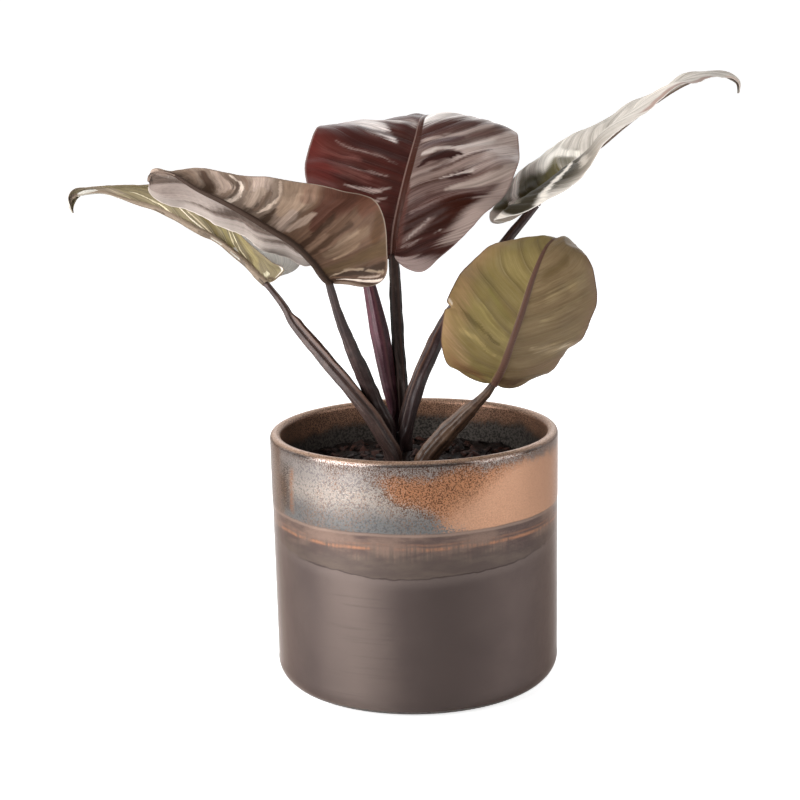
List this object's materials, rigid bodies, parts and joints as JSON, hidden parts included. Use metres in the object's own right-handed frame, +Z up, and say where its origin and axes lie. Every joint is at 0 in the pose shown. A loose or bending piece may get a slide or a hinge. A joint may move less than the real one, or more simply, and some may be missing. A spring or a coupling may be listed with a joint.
{
  "type": "potted bronze philodendron",
  "caption": "Bronze philodendron with broad pointed leaves on long stalks and a rolled new leaf, growing in bark mix in a straight-sided glazed pot.",
  "frame": {"origin": "centre of the pot's flat foot, on the surface it stands on", "axes": "+Z up along the pot's axis, -Y towards the viewer of the picture, +X to the viewer's right"},
  "size_m": [0.3428, 0.1977, 0.2885],
  "materials": {
    "pot": "satin",
    "soil": "matte",
    "stem": "matte",
    "stalk_left": "satin",
    "stalk_front_left": "satin",
    "stalk_right": "satin",
    "stalk_back": "satin",
    "stalk_front_right": "satin",
    "new_leaf_sheath": "satin",
    "leaf_left": "satin",
    "leaf_front_left": "satin",
    "leaf_back": "gloss",
    "leaf_right": "satin",
    "leaf_front_right": "satin"
  },
  "bodies": {
    "root": {"pot": "pot", "soil": "soil", "stem": "stem", "stalk_left": "stalk_left", "stalk_front_left": "stalk_front_left", "stalk_right": "stalk_right", "stalk_back": "stalk_back", "stalk_front_right": "stalk_front_right", "new_leaf_sheath": "new_leaf_sheath", "leaf_left": "leaf_left", "leaf_front_left": "leaf_front_left", "leaf_back": "leaf_back", "leaf_right": "leaf_right", "leaf_front_right": "leaf_front_right"}
  },
  "joints": []
}
